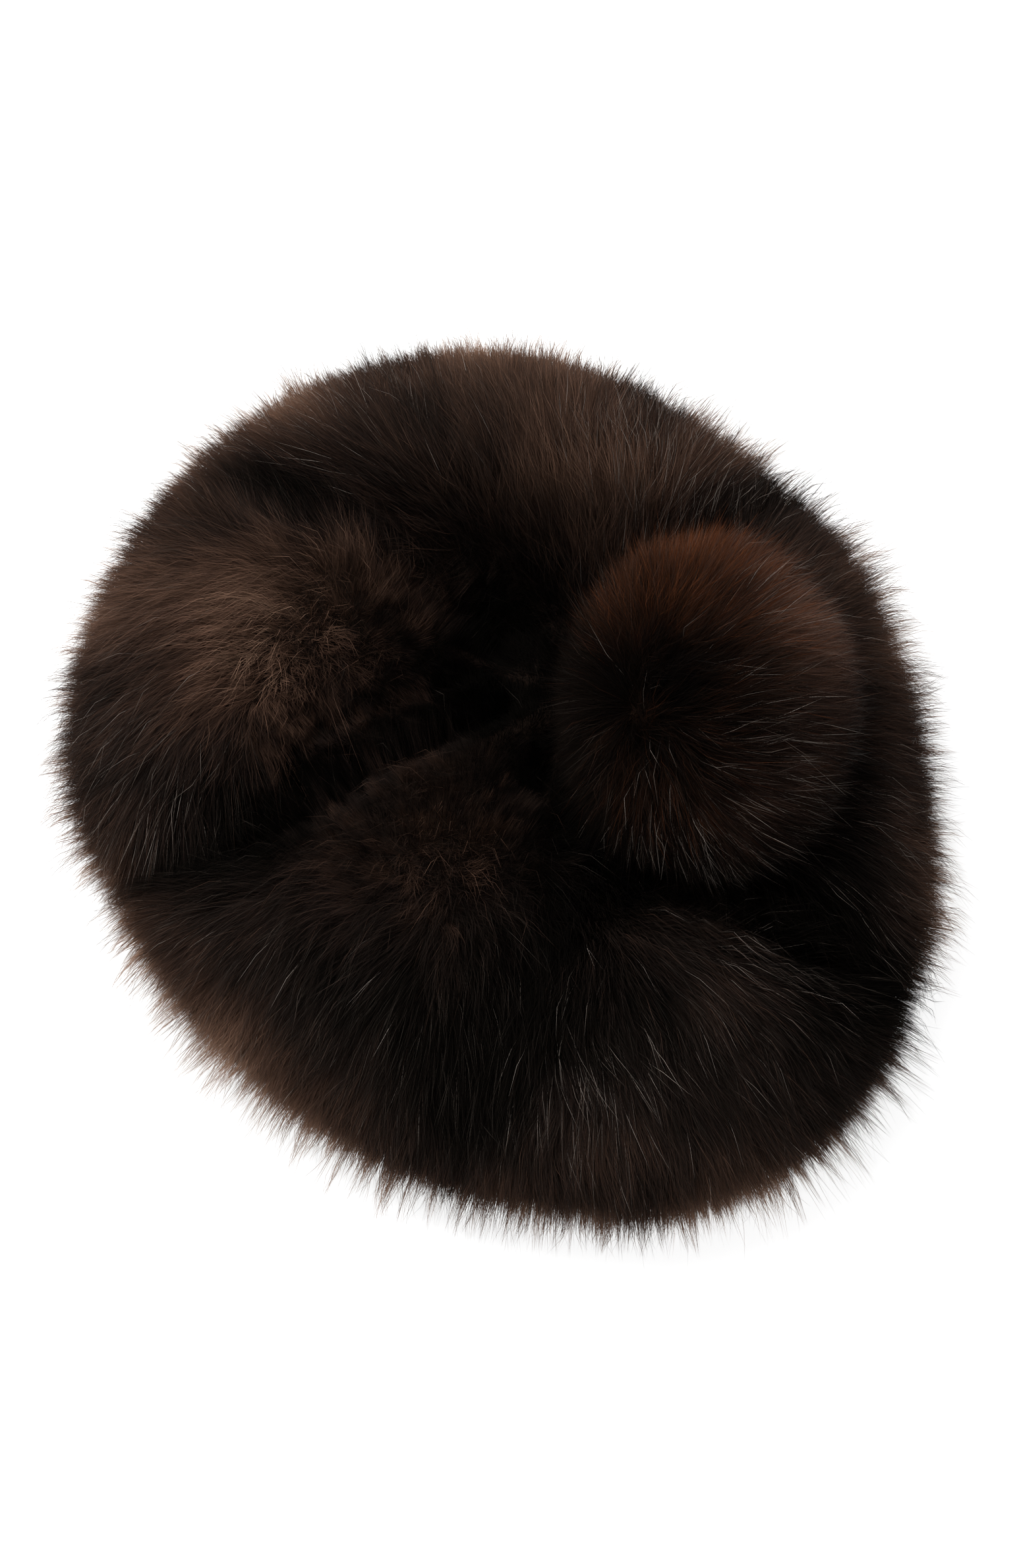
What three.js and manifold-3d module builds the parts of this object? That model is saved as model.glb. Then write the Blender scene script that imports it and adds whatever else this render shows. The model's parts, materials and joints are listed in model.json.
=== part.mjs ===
// Fur beret with a fur pompom, lying on its underside.
// Millimetres, +Z up, the front of the beret towards -Y. The origin is on the
// surface that it lies on, under the middle of its overall box.
import * as THREE from 'three';
import { mergeVertices } from 'three/addons/utils/BufferGeometryUtils.js';
import Module from 'manifold-3d';

// Sizes of the crown, which is pelt and fur together
const SECTIONS = 96;              // sections round the crown
const DIMPLE_HEIGHT = 38;         // fur surface at the middle of the crown, where the pompom is sewn on
const LOBE_HEIGHT = 73;           // top of the fullest lobe
const RIM_HEIGHT = 31;            // the widest ring
const WALL = 16;                  // pelt with its fur
const HEAD_OPENING_RADIUS = 89;   // a head of 56 cm
const MEAN_REACH = 146;           // mean radius of the outline
const TOP_CENTRE = { x: 25, y: 28 };   // the crown has slid back and to the right over the opening

// The outline seen from above, and how high the lobe stands in each direction
const OUTLINE = [
  { azimuth: 0, reach: 139, crest: 58 },
  { azimuth: 30, reach: 137, crest: 62 },
  { azimuth: 60, reach: 137, crest: 66 },
  { azimuth: 90, reach: 148, crest: 68 },
  { azimuth: 120, reach: 151, crest: 66 },
  { azimuth: 150, reach: 149, crest: 67 },
  { azimuth: 180, reach: 144, crest: 72 },
  { azimuth: 210, reach: 131, crest: 70 },
  { azimuth: 240, reach: 133, crest: 72 },
  { azimuth: 270, reach: 144, crest: 70 },
  { azimuth: 300, reach: 161, crest: 68 },
  { azimuth: 330, reach: 155, crest: 62 },
];

// The skin from the middle of the top, over the lobe and the rim, to the ring
// that it lies on. Share is the part of the reach, height is above the surface.
const OUTER_SKIN = [
  { share: 0, height: DIMPLE_HEIGHT },
  { share: 0.1, height: DIMPLE_HEIGHT + 2 },
  { share: 0.28, height: 55 },
  { share: 0.46, height: 69 },
  { share: 0.62, height: LOBE_HEIGHT },
  { share: 0.78, height: 68 },
  { share: 0.9, height: 56 },
  { share: 0.975, height: 43 },
  { share: 1, height: RIM_HEIGHT },
  { share: 0.985, height: 16 },
  { share: 0.93, height: 4 },
  { share: 0.9, height: 1.2 },
  { share: 0.87, height: 0 },
];

// The inside, from the lip of the head opening up and back to the middle
const HOLLOW = [
  { share: HEAD_OPENING_RADIUS / MEAN_REACH, height: 0 },
  { share: HEAD_OPENING_RADIUS / MEAN_REACH, height: 9 },
  { share: 0.67, height: 15 },
  { share: 0.76, height: 20 },
  { share: 0.81, height: 30 },
  { share: 0.78, height: 42 },
  { share: 0.69, height: 52 },
  { share: 0.56, height: LOBE_HEIGHT - WALL },
  { share: 0.4, height: 50 },
  { share: 0.22, height: 33 },
  { share: 0.09, height: DIMPLE_HEIGHT - WALL + 1 },
  { share: 0, height: DIMPLE_HEIGHT - WALL },
];
const OUTER_STEPS = 24;
const HOLLOW_STEPS = 13;

// The valleys between the lobes, each a curve through three points seen from above
const FOLDS = [
  { name: 'left', from: [0, 34], via: [-54, 2], to: [-112, -32], depthFrom: 14, depthTo: 22, width: 13 },
  { name: 'front', from: [22, 0], via: [62, -43], to: [124, -70], depthFrom: 22, depthTo: 12, width: 14 },
  { name: 'front_seam', from: [26, -40], via: [6, -80], to: [-12, -124], depthFrom: 9, depthTo: 6, width: 15 },
  { name: 'back_left', from: [4, 44], via: [-32, 74], to: [-104, 98], depthFrom: 14, depthTo: 9, width: 14 },
  { name: 'back_right', from: [44, 44], via: [76, 78], to: [112, 108], depthFrom: 9, depthTo: 6, width: 14 },
];
const FOLD_STEPS = 40;
const FOLD_SHARPNESS = 1.4;       // 1 is a crease between two round lobes, 2 a soft trough
const FOLD_KEPT_INSIDE = 0.5;     // the inside follows a fold by half, as the fur gives way

// Where one rule of the drape gives way to the next, as heights or as shares of the reach
const SLIDES_ABOVE = { from: 5, to: DIMPLE_HEIGHT - WALL };
const ROUND_WITHIN = { from: 0.66, to: 0.86 };
const ROUND_BELOW = { from: 8, to: 24 };
const LOBES_BEYOND = { from: 0.08, to: 0.4 };
const FOLDS_WITHIN = { from: 0.74, to: 1 };
const FOLDS_ABOVE = { from: RIM_HEIGHT, to: RIM_HEIGHT + 16 };

// Sizes of the pompom
const POMPOM = {
  centre: { x: 62, y: 13, z: 73 },
  half: { x: 50, y: 59, z: 49 },
  sections: 40,
  rings: 24,
  lean: 0.06,       // fuller towards the front right
  seatGap: 0.6,     // measured straight down to the crown
};

// 0 below a band, 1 above it, smooth between
const past = (value, { from, to }) => THREE.MathUtils.smoothstep(value, from, to);

// A row's column at an azimuth in degrees, on a smooth closed curve
function aroundOutline(column, azimuth) {
  const count = OUTLINE.length;
  const place = THREE.MathUtils.euclideanModulo(azimuth, 360) / (360 / count);
  const row = Math.floor(place);
  const value = (step) => OUTLINE[(row + step + count) % count][column];
  const t = place - row;
  const slopeFrom = (value(1) - value(-1)) / 2;
  const slopeTo = (value(2) - value(0)) / 2;
  return (2 * t ** 3 - 3 * t ** 2 + 1) * value(0) + (t ** 3 - 2 * t ** 2 + t) * slopeFrom
    + (3 * t ** 2 - 2 * t ** 3) * value(1) + (t ** 3 - t ** 2) * slopeTo;
}

// A fold's curve as short stretches, each end with its depth
function foldPath(fold) {
  const curve = new THREE.SplineCurve([fold.from, fold.via, fold.to].map(([x, y]) => new THREE.Vector2(x, y)));
  return curve.getPoints(FOLD_STEPS).map((point, step) => ({
    point,
    depth: THREE.MathUtils.lerp(fold.depthFrom, fold.depthTo, step / FOLD_STEPS),
  }));
}

const FOLD_PATHS = FOLDS.map((fold) => ({ width: fold.width, path: foldPath(fold) }));

// How far the folds draw the fur surface down at a place seen from above
function foldDepth(x, y) {
  const place = new THREE.Vector2(x, y);
  const depths = FOLD_PATHS.map(({ width, path }) => Math.max(...path.map(({ point, depth }) => (
    depth * Math.exp(-((place.distanceTo(point) / width) ** FOLD_SHARPNESS))
  ))));
  return Math.hypot(...depths);
}

// Moves one point of the plain turned crown to its place in the soft, slouched one
function drapeCrown(point, inside) {
  const share = Math.hypot(point.x, point.y);
  const azimuth = THREE.MathUtils.radToDeg(Math.atan2(point.y, point.x));
  const round = (1 - past(share, ROUND_WITHIN)) * (1 - past(point.z, ROUND_BELOW));
  const reach = THREE.MathUtils.lerp(aroundOutline('reach', azimuth), MEAN_REACH, round);
  const slide = (1 - share * share) * past(point.z, SLIDES_ABOVE);
  const x = point.x * reach + TOP_CENTRE.x * slide;
  const y = point.y * reach + TOP_CENTRE.y * slide;
  const crest = (aroundOutline('crest', azimuth) - RIM_HEIGHT) / (LOBE_HEIGHT - RIM_HEIGHT);
  const lobe = THREE.MathUtils.lerp(1, crest, past(share, LOBES_BEYOND));
  const above = Math.max(point.z - RIM_HEIGHT, 0);
  const skinHeight = point.z + (inside ? WALL : 0);
  const drop = foldDepth(x, y) * past(skinHeight, FOLDS_ABOVE) * (1 - past(share, FOLDS_WITHIN));
  return new THREE.Vector3(x, y, point.z - above + above * lobe - drop * (inside ? FOLD_KEPT_INSIDE : 1));
}

// A profile's rows as a smooth run of points
function smoothProfile(rows, steps) {
  const curve = new THREE.SplineCurve(rows.map(({ share, height }) => new THREE.Vector2(share, height / MEAN_REACH)));
  return curve.getSpacedPoints(steps).map(({ x, y }) => new THREE.Vector2(Math.max(x, 0), Math.max(y, 0) * MEAN_REACH));
}

// A turned profile, draped, as one closed geometry with shared vertices. The
// profile runs from the middle of the bottom to the middle of the top, and its
// first points, insideCount of them, are inside the crown.
function drapedTurning(profile, insideCount) {
  const turned = new THREE.LatheGeometry(profile, SECTIONS).rotateX(Math.PI / 2);
  const position = turned.getAttribute('position');
  const point = new THREE.Vector3();
  for (let index = 0; index < position.count; index += 1) {
    point.fromBufferAttribute(position, index);
    const placed = drapeCrown(point, index % profile.length < insideCount);
    position.setXYZ(index, placed.x, placed.y, placed.z);
  }
  return closedGeometry(turned);
}

// Merges shared vertices and drops the triangles that have no area at the poles
function closedGeometry(geometry) {
  geometry.deleteAttribute('normal');
  geometry.deleteAttribute('uv');
  const merged = mergeVertices(geometry);
  const kept = [];
  for (let corner = 0; corner < merged.index.count; corner += 3) {
    const [a, b, c] = [0, 1, 2].map((step) => merged.index.getX(corner + step));
    if (a !== b && b !== c && c !== a) kept.push(a, b, c);
  }
  merged.setIndex(kept);
  return merged;
}

const wasm = await Module();
wasm.setup();

function toSolid(geometry) {
  return new wasm.Manifold(new wasm.Mesh({
    numProp: 3,
    vertProperties: new Float32Array(geometry.getAttribute('position').array),
    triVerts: new Uint32Array(geometry.index.array),
  }));
}

function toGeometry(solid) {
  const mesh = solid.getMesh();
  const geometry = new THREE.BufferGeometry();
  geometry.setAttribute('position', new THREE.BufferAttribute(mesh.vertProperties, 3));
  geometry.setIndex(new THREE.BufferAttribute(mesh.triVerts, 1));
  return geometry;
}

const skinProfile = smoothProfile(OUTER_SKIN, OUTER_STEPS).reverse();

function crownGeometry() {
  const hollowProfile = smoothProfile(HOLLOW, HOLLOW_STEPS).reverse();
  return drapedTurning([...hollowProfile, ...skinProfile], hollowProfile.length);
}

// The crown's outer form filled in, which the pompom is pressed against
function crownForm() {
  return drapedTurning([new THREE.Vector2(0, 0), ...skinProfile], 0);
}

// A soft ball, fuller towards the front right, pressed flat where it lies on the crown
function pompomGeometry() {
  const ball = new THREE.SphereGeometry(1, POMPOM.sections, POMPOM.rings).rotateX(Math.PI / 2);
  const position = ball.getAttribute('position');
  for (let index = 0; index < position.count; index += 1) {
    const [x, y, z] = [position.getX(index), position.getY(index), position.getZ(index)];
    const fuller = 1 + POMPOM.lean * (x - y);
    position.setXYZ(
      index,
      POMPOM.centre.x + POMPOM.half.x * x * fuller,
      POMPOM.centre.y + POMPOM.half.y * y * fuller,
      POMPOM.centre.z + POMPOM.half.z * z,
    );
  }
  const bed = toSolid(crownForm()).translate([0, 0, POMPOM.seatGap]);
  return toGeometry(toSolid(closedGeometry(ball)).subtract(bed));
}

const darkFur = new THREE.MeshStandardMaterial({ color: 0x2a1f1a, roughness: 0.85, metalness: 0 });
const rustFur = new THREE.MeshStandardMaterial({ color: 0x33221a, roughness: 0.8, metalness: 0 });

function namedMesh(name, geometry, material) {
  const mesh = new THREE.Mesh(geometry, material);
  mesh.name = name;
  return mesh;
}

const beret = new THREE.Group();
beret.add(namedMesh('crown', crownGeometry(), darkFur));
beret.add(namedMesh('pompom', pompomGeometry(), rustFur));
const middle = new THREE.Box3().setFromObject(beret).getCenter(new THREE.Vector3());
beret.position.set(-middle.x, -middle.y, 0);

export default beret;
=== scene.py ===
"""A fur beret with a fur pompom, lying by itself on its underside.

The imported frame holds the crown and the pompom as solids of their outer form.
Under each of them this script makes the pelt, and grows the fur back out to
that form: underfur, coat and guard hairs, each hair a thin pointed ribbon.
Everything is in metres in the frame's own axes, +Z up, the front towards -Y.
Tables and sizes of the hair are in millimetres.
"""

import json
import logging
import math
from abc import ABC, abstractmethod
from dataclasses import dataclass, field
from enum import Enum
from functools import cache
from typing import Callable, Iterable

import bpy
import numpy as np
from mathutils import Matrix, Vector
from mathutils.bvhtree import BVHTree
from mathutils.kdtree import KDTree

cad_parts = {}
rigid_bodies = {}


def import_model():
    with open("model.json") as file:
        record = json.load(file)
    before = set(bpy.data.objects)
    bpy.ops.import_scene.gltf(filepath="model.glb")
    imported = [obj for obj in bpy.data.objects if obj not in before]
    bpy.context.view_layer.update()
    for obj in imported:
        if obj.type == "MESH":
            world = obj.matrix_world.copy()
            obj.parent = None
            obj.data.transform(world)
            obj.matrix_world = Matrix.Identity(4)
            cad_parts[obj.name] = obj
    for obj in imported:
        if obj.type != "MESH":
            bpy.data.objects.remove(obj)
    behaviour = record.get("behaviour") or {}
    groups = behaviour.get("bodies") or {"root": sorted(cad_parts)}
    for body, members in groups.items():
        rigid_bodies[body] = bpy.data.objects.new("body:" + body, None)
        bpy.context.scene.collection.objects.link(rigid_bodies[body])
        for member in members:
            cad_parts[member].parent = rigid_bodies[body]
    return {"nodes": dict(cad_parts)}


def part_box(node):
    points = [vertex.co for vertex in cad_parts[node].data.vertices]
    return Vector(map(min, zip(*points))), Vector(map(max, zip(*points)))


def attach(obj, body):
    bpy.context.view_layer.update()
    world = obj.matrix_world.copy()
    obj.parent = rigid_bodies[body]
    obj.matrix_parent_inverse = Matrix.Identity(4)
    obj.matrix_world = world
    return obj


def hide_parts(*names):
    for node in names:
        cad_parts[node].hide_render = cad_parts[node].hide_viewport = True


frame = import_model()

MM = 0.001
HAIR_MAP = "OFBake"

Array = np.ndarray
log = logging.getLogger("beret")


class Body(Enum):
    """The frame's bodies."""

    ROOT = "root"


class Node(Enum):
    """The frame's nodes."""

    CROWN = "crown"
    POMPOM = "pompom"


class Slot(Enum):
    """The record's material slots."""

    CROWN_FUR = "crown_fur"
    POMPOM_FUR = "pompom_fur"


class Kind(Enum):
    """The kinds of hair, from the skin outwards."""

    UNDERFUR = "underfur"
    COAT = "coat"
    GUARD = "guard hair"


# Shader maths


class Term:
    """A number that a material works out. Arithmetic on it adds Math nodes."""

    def __init__(self, bench: "Bench", socket: bpy.types.NodeSocket) -> None:
        """Wraps a socket of a material that is being made."""
        self.bench = bench
        self.socket = socket

    def _math(self, operation: str, first: "Term | float", second: "Term | float") -> "Term":
        """Adds one Math node, which applies an operation to two values."""
        node = self.bench.add("ShaderNodeMath", {"operation": operation}, {0: first, 1: second})
        return Term(self.bench, node.outputs[0])

    def __add__(self, other: "Term | float") -> "Term":
        """self + other."""
        return self._math("ADD", self, other)

    def __radd__(self, other: float) -> "Term":
        """other + self."""
        return self._math("ADD", other, self)

    def __rmul__(self, other: float) -> "Term":
        """other * self."""
        return self._math("MULTIPLY", other, self)

    def __pow__(self, other: float) -> "Term":
        """self to a power."""
        return self._math("POWER", self, other)


@dataclass(frozen=True)
class Paint:
    """A colour as the eye sees it on a screen, 0 to 255."""

    red: int
    green: int
    blue: int

    def linear(self) -> tuple[float, float, float, float]:
        """Works out the colour as light.

        Returns:
            Red, green and blue from 0 to 1, and full opacity.
        """
        shares = [share / 255 for share in (self.red, self.green, self.blue)]
        light = [s / 12.92 if s <= 0.04045 else ((s + 0.055) / 1.055) ** 2.4 for s in shares]
        return (light[0], light[1], light[2], 1.0)


@dataclass(frozen=True)
class Stop:
    """One colour on a ramp, at a place from 0 to 1."""

    place: float
    paint: Paint


class Bench:
    """Builds the nodes of one material."""

    def __init__(self, name: str) -> None:
        """Starts a material with no nodes.

        Args:
            name: the material's name.
        """
        self.material = bpy.data.materials.new(name)
        self.material.use_nodes = True
        self.tree = self.material.node_tree
        self.tree.nodes.clear()

    def add(self, kind: str, settings: dict, sockets: dict) -> bpy.types.Node:
        """Adds one node.

        Args:
            kind: the node's type.
            settings: its properties, or the stops of a ramp, which are set first.
            sockets: its inputs by name or number, as values, terms or sockets.

        Returns:
            The node.
        """
        node = self.tree.nodes.new(kind)
        for key, value in settings.items():
            if key == "stops":
                self._lay_stops(node.color_ramp, value)
            else:
                setattr(node, key, value)
        for key, value in sockets.items():
            source = value.socket if isinstance(value, Term) else value
            if isinstance(source, bpy.types.NodeSocket):
                self.tree.links.new(source, node.inputs[key])
            else:
                node.inputs[key].default_value = source
        return node

    def _lay_stops(self, ramp: bpy.types.ColorRamp, stops: Iterable[Stop]) -> None:
        """Gives a ramp its colours.

        Args:
            ramp: a new ramp, with two colours.
            stops: the colours, in order of their places.
        """
        for index, stop in enumerate(stops):
            element = ramp.elements[index] if index < 2 else ramp.elements.new(stop.place)
            element.position = stop.place
            element.color = stop.paint.linear()

    def across_and_along(self) -> tuple[Term, Term]:
        """Reads the hair map.

        Returns:
            The tone, and how far along the hair, both from 0 to 1.
        """
        place = self.add("ShaderNodeTexCoord", {}, {})
        split = self.add("ShaderNodeSeparateXYZ", {}, {0: place.outputs["UV"]})
        return Term(self, split.outputs[0]), Term(self, split.outputs[1])

    def noise(self, scale: float, detail: float) -> Term:
        """Makes smooth noise in the object's own space.

        Args:
            scale: how many waves to a metre.
            detail: how many finer waves lie on them.

        Returns:
            A number from 0 to 1.
        """
        place = self.add("ShaderNodeTexCoord", {}, {})
        sockets = {"Vector": place.outputs["Object"], "Scale": scale, "Detail": detail}
        return Term(self, self.add("ShaderNodeTexNoise", {}, sockets).outputs[0])

    def ramp(self, factor: Term, stops: Iterable[Stop]) -> bpy.types.NodeSocket:
        """The colour of a ramp at a factor."""
        return self.add("ShaderNodeValToRGB", {"stops": stops}, {0: factor}).outputs[0]

    def shaded(self, colour: bpy.types.NodeSocket, shade: Term) -> bpy.types.NodeSocket:
        """A colour made darker or lighter by a number."""
        node = self.add("ShaderNodeVectorMath", {"operation": "SCALE"}, {0: colour, "Scale": shade})
        return node.outputs[0]

    def bump(self, height: Term, strength: float, distance: float) -> bpy.types.NodeSocket:
        """A normal that follows a height."""
        sockets = {"Height": height, "Strength": strength, "Distance": distance}
        return self.add("ShaderNodeBump", {}, sockets).outputs[0]

    def close(self, sockets: dict) -> bpy.types.Material:
        """Adds the surface shader and the output.

        Args:
            sockets: the Principled shader's inputs.

        Returns:
            The finished material.
        """
        surface = self.add("ShaderNodeBsdfPrincipled", {}, sockets)
        self.add("ShaderNodeOutputMaterial", {}, {"Surface": surface.outputs[0]})
        return self.material


@dataclass(frozen=True)
class HairFinish:
    """Hair whose tone is read across its map, and which is darker at the root with painted shade.
    """

    name: str
    tones: tuple[Stop, ...]
    root_shade: float
    roughness: float
    gloss: float
    gloss_tint: Paint = Paint(236, 214, 196)
    lightens: float = 0.9

    def make(self) -> bpy.types.Material:
        """Makes the material.

        Returns:
            The material.
        """
        bench = Bench(self.name)
        tone, along = bench.across_and_along()
        # Darker towards the root: painted shade deep in the fur
        shade = self.root_shade + (1 - self.root_shade) * along**self.lightens
        sockets = {
            "Base Color": bench.shaded(bench.ramp(tone, self.tones), shade),
            "Roughness": self.roughness,
            "Specular IOR Level": self.gloss,
            "Specular Tint": self.gloss_tint.linear(),
        }
        return bench.close(sockets)


@dataclass(frozen=True)
class PeltFinish:
    """The skin, a matt surface with a fine nap."""

    name: str
    dark: Paint
    light: Paint
    grain: float
    nap: float
    nap_height: float = 0.8 * MM
    gloss: float = 0.02

    def make(self) -> bpy.types.Material:
        """Makes the material.

        Returns:
            The material.
        """
        bench = Bench(self.name)
        cloudy = bench.noise(self.grain * 0.2, 3.0)
        fine = bench.noise(self.grain, 6.0)
        tones = (Stop(0.3, self.dark), Stop(0.7, self.light))
        sockets = {
            "Base Color": bench.ramp(0.6 * cloudy + 0.4 * fine, tones),
            "Roughness": 0.75 + 0.2 * fine,
            "Normal": bench.bump(fine, self.nap, self.nap_height),
            "Specular IOR Level": self.gloss,
        }
        return bench.close(sockets)


# Hair tones run from black brown to tan, and the silver hairs, partly painted glints, are past them
TONE_TOP = 0.86
SILVER_LOW = 0.9
TONE_WIDTH = 0.008

SILVER_TONES = (Stop(SILVER_LOW, Paint(96, 84, 76)), Stop(1.0, Paint(158, 148, 140)))
SABLE_TONES = (
    Stop(0.0, Paint(7, 6, 5)),
    Stop(0.2, Paint(32, 25, 22)),
    Stop(0.4, Paint(59, 43, 35)),
    Stop(0.6, Paint(93, 69, 56)),
    Stop(TONE_TOP, Paint(144, 114, 95)),
    *SILVER_TONES,
)
# The pompom's tones go twice from black to light: first rust, then grey brown
SECOND_COLOUR = 0.43
MIXED_TONES = (
    Stop(0.0, Paint(7, 5, 4)),
    Stop(0.1, Paint(34, 20, 13)),
    Stop(0.2, Paint(64, 35, 20)),
    Stop(0.3, Paint(96, 53, 29)),
    Stop(0.42, Paint(128, 75, 42)),
    Stop(SECOND_COLOUR, Paint(7, 5, 4)),
    Stop(0.53, Paint(33, 24, 20)),
    Stop(0.63, Paint(58, 42, 35)),
    Stop(0.73, Paint(90, 68, 57)),
    Stop(TONE_TOP, Paint(138, 110, 96)),
    *SILVER_TONES,
)
DOWN = {"root_shade": 0.6, "roughness": 0.85, "gloss": 0.03}
SLEEK = {"root_shade": 0.7, "roughness": 0.4, "gloss": 0.11}
PELT = {"grain": 700.0, "nap": 0.5}

CROWN_DOWN = HairFinish("sable_down", SABLE_TONES, **DOWN)
CROWN_GUARD = HairFinish("sable_guard_hair", SABLE_TONES, **SLEEK)
POMPOM_DOWN = HairFinish("rust_down", MIXED_TONES, **DOWN)
POMPOM_GUARD = HairFinish("rust_guard_hair", MIXED_TONES, **SLEEK)
# The skins are as dark as the shade deep in the fur: painted shade where they show between hairs
CROWN_SKIN = PeltFinish("dark_pelt", Paint(13, 9, 7), Paint(27, 19, 15), **PELT)
POMPOM_SKIN = PeltFinish("rust_pelt", Paint(14, 9, 7), Paint(30, 19, 12), **PELT)
SUEDE = PeltFinish("brown_suede", Paint(58, 42, 33), Paint(78, 58, 46), grain=900.0, nap=0.35)


# Vectors and smooth random fields


def unit(vectors: Array) -> Array:
    """The vectors at length 1."""
    return vectors / np.maximum(np.linalg.norm(vectors, axis=1, keepdims=True), 1e-12)


def part_of(share: Array, low: float, high: float) -> Array:
    """How far a number is from low to high, from 0 to 1, with soft ends."""
    step = np.clip((share - low) / (high - low), 0, 1)
    return step * step * (3 - 2 * step)


LATTICE = 64


@cache
def knots(seed: int) -> Array:
    """A cube of random numbers from -1 to 1, which a field passes through."""
    return np.random.default_rng(seed).uniform(-1, 1, (LATTICE,) * 3)


@dataclass(frozen=True)
class Ripple:
    """A smooth random field in space, from -amount to amount."""

    cell_mm: float
    seed: int
    amount: float = 1.0

    def at(self, places: Array) -> Array:
        """Reads the field.

        Args:
            places: rows of x, y and z in metres.

        Returns:
            One number for each place.
        """
        cells = places / (self.cell_mm * MM) + LATTICE / 2
        low = np.floor(cells).astype(int)
        step = cells - low
        step = step * step * (3 - 2 * step)
        total = np.zeros(len(places))
        for corner in np.ndindex(2, 2, 2):
            index = (low + corner) % LATTICE
            weight = np.prod(np.where(corner, step, 1 - step), axis=1)
            total += weight * knots(self.seed)[index[:, 0], index[:, 1], index[:, 2]]
        return self.amount * total


# Modelling by hand


def alone(piece: bpy.types.Object) -> None:
    """Selects one object and makes it the active one.

    Args:
        piece: the object.
    """
    bpy.ops.object.select_all(action="DESELECT")
    piece.select_set(True)
    bpy.context.view_layer.objects.active = piece


def merged_copy(node: Node, name: str) -> bpy.types.Object:
    """Copies a node's surface and joins its loose triangles.

    Args:
        node: the node.
        name: the new piece's name.

    Returns:
        The new piece.
    """
    surface = frame["nodes"][node.value].data.copy()
    surface.materials.clear()
    piece = bpy.data.objects.new(name, surface)
    bpy.context.scene.collection.objects.link(piece)
    alone(piece)
    bpy.ops.object.mode_set(mode="EDIT")
    bpy.ops.mesh.select_all(action="SELECT")
    bpy.ops.mesh.remove_doubles(threshold=0.01 * MM)
    bpy.ops.object.mode_set(mode="OBJECT")
    return piece


def choose_faces(piece: bpy.types.Object, test: Callable[[bpy.types.MeshPolygon], bool]) -> None:
    """Selects the faces that pass a test, and nothing else.

    Args:
        piece: the piece, in object mode.
        test: says whether a face is wanted.
    """
    mesh = piece.data
    for group in (mesh.vertices, mesh.edges):
        group.foreach_set("select", np.zeros(len(group), bool))
    mesh.polygons.foreach_set("select", [bool(test(face)) for face in mesh.polygons])


def draw_in(piece: bpy.types.Object, depth: float) -> None:
    """Turns a piece's triangles to quads and draws all of it in along its normals.

    Args:
        piece: the piece, in object mode.
        depth: how far.
    """
    bpy.ops.object.mode_set(mode="EDIT")
    bpy.ops.mesh.select_all(action="SELECT")
    bpy.ops.mesh.tris_convert_to_quads()
    bpy.ops.transform.shrink_fatten(value=-depth)
    bpy.ops.object.mode_set(mode="OBJECT")


def apply_modifier(piece: bpy.types.Object, kind: str, **settings: object) -> None:
    """Adds a modifier and applies it.

    Args:
        piece: the piece.
        kind: the modifier's type.
        settings: its properties.
    """
    alone(piece)
    modifier = piece.modifiers.new(kind.lower(), kind)
    for key, value in settings.items():
        setattr(modifier, key, value)
    bpy.ops.object.modifier_apply(modifier=modifier.name)


def triangles_in(piece: bpy.types.Object) -> int:
    """Counts a piece's triangles.

    Args:
        piece: the piece.

    Returns:
        How many it has.
    """
    sides = np.zeros(len(piece.data.polygons), int)
    piece.data.polygons.foreach_get("loop_total", sides)
    return int((sides - 2).sum())


# Where hair grows, and how


@dataclass(frozen=True)
class Roots:
    """Places on a skin that hairs grow from, with the way out of the skin there."""

    places: Array
    normals: Array

    def sideways(self, low: float, high: float) -> Array:
        """How far the skin has turned from up to sideways or down, from 0 to 1."""
        return part_of(1 - self.normals[:, 2], low, high)

    def beneath(self, low: float, high: float) -> Array:
        """How far the skin faces down, from 0 to 1."""
        return part_of(-self.normals[:, 2], low, high)


Favour = Callable[[Roots], Array]


def everywhere(roots: Roots) -> Array:
    """Hair as dense in one place as in another."""
    return np.ones(len(roots.places))


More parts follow.
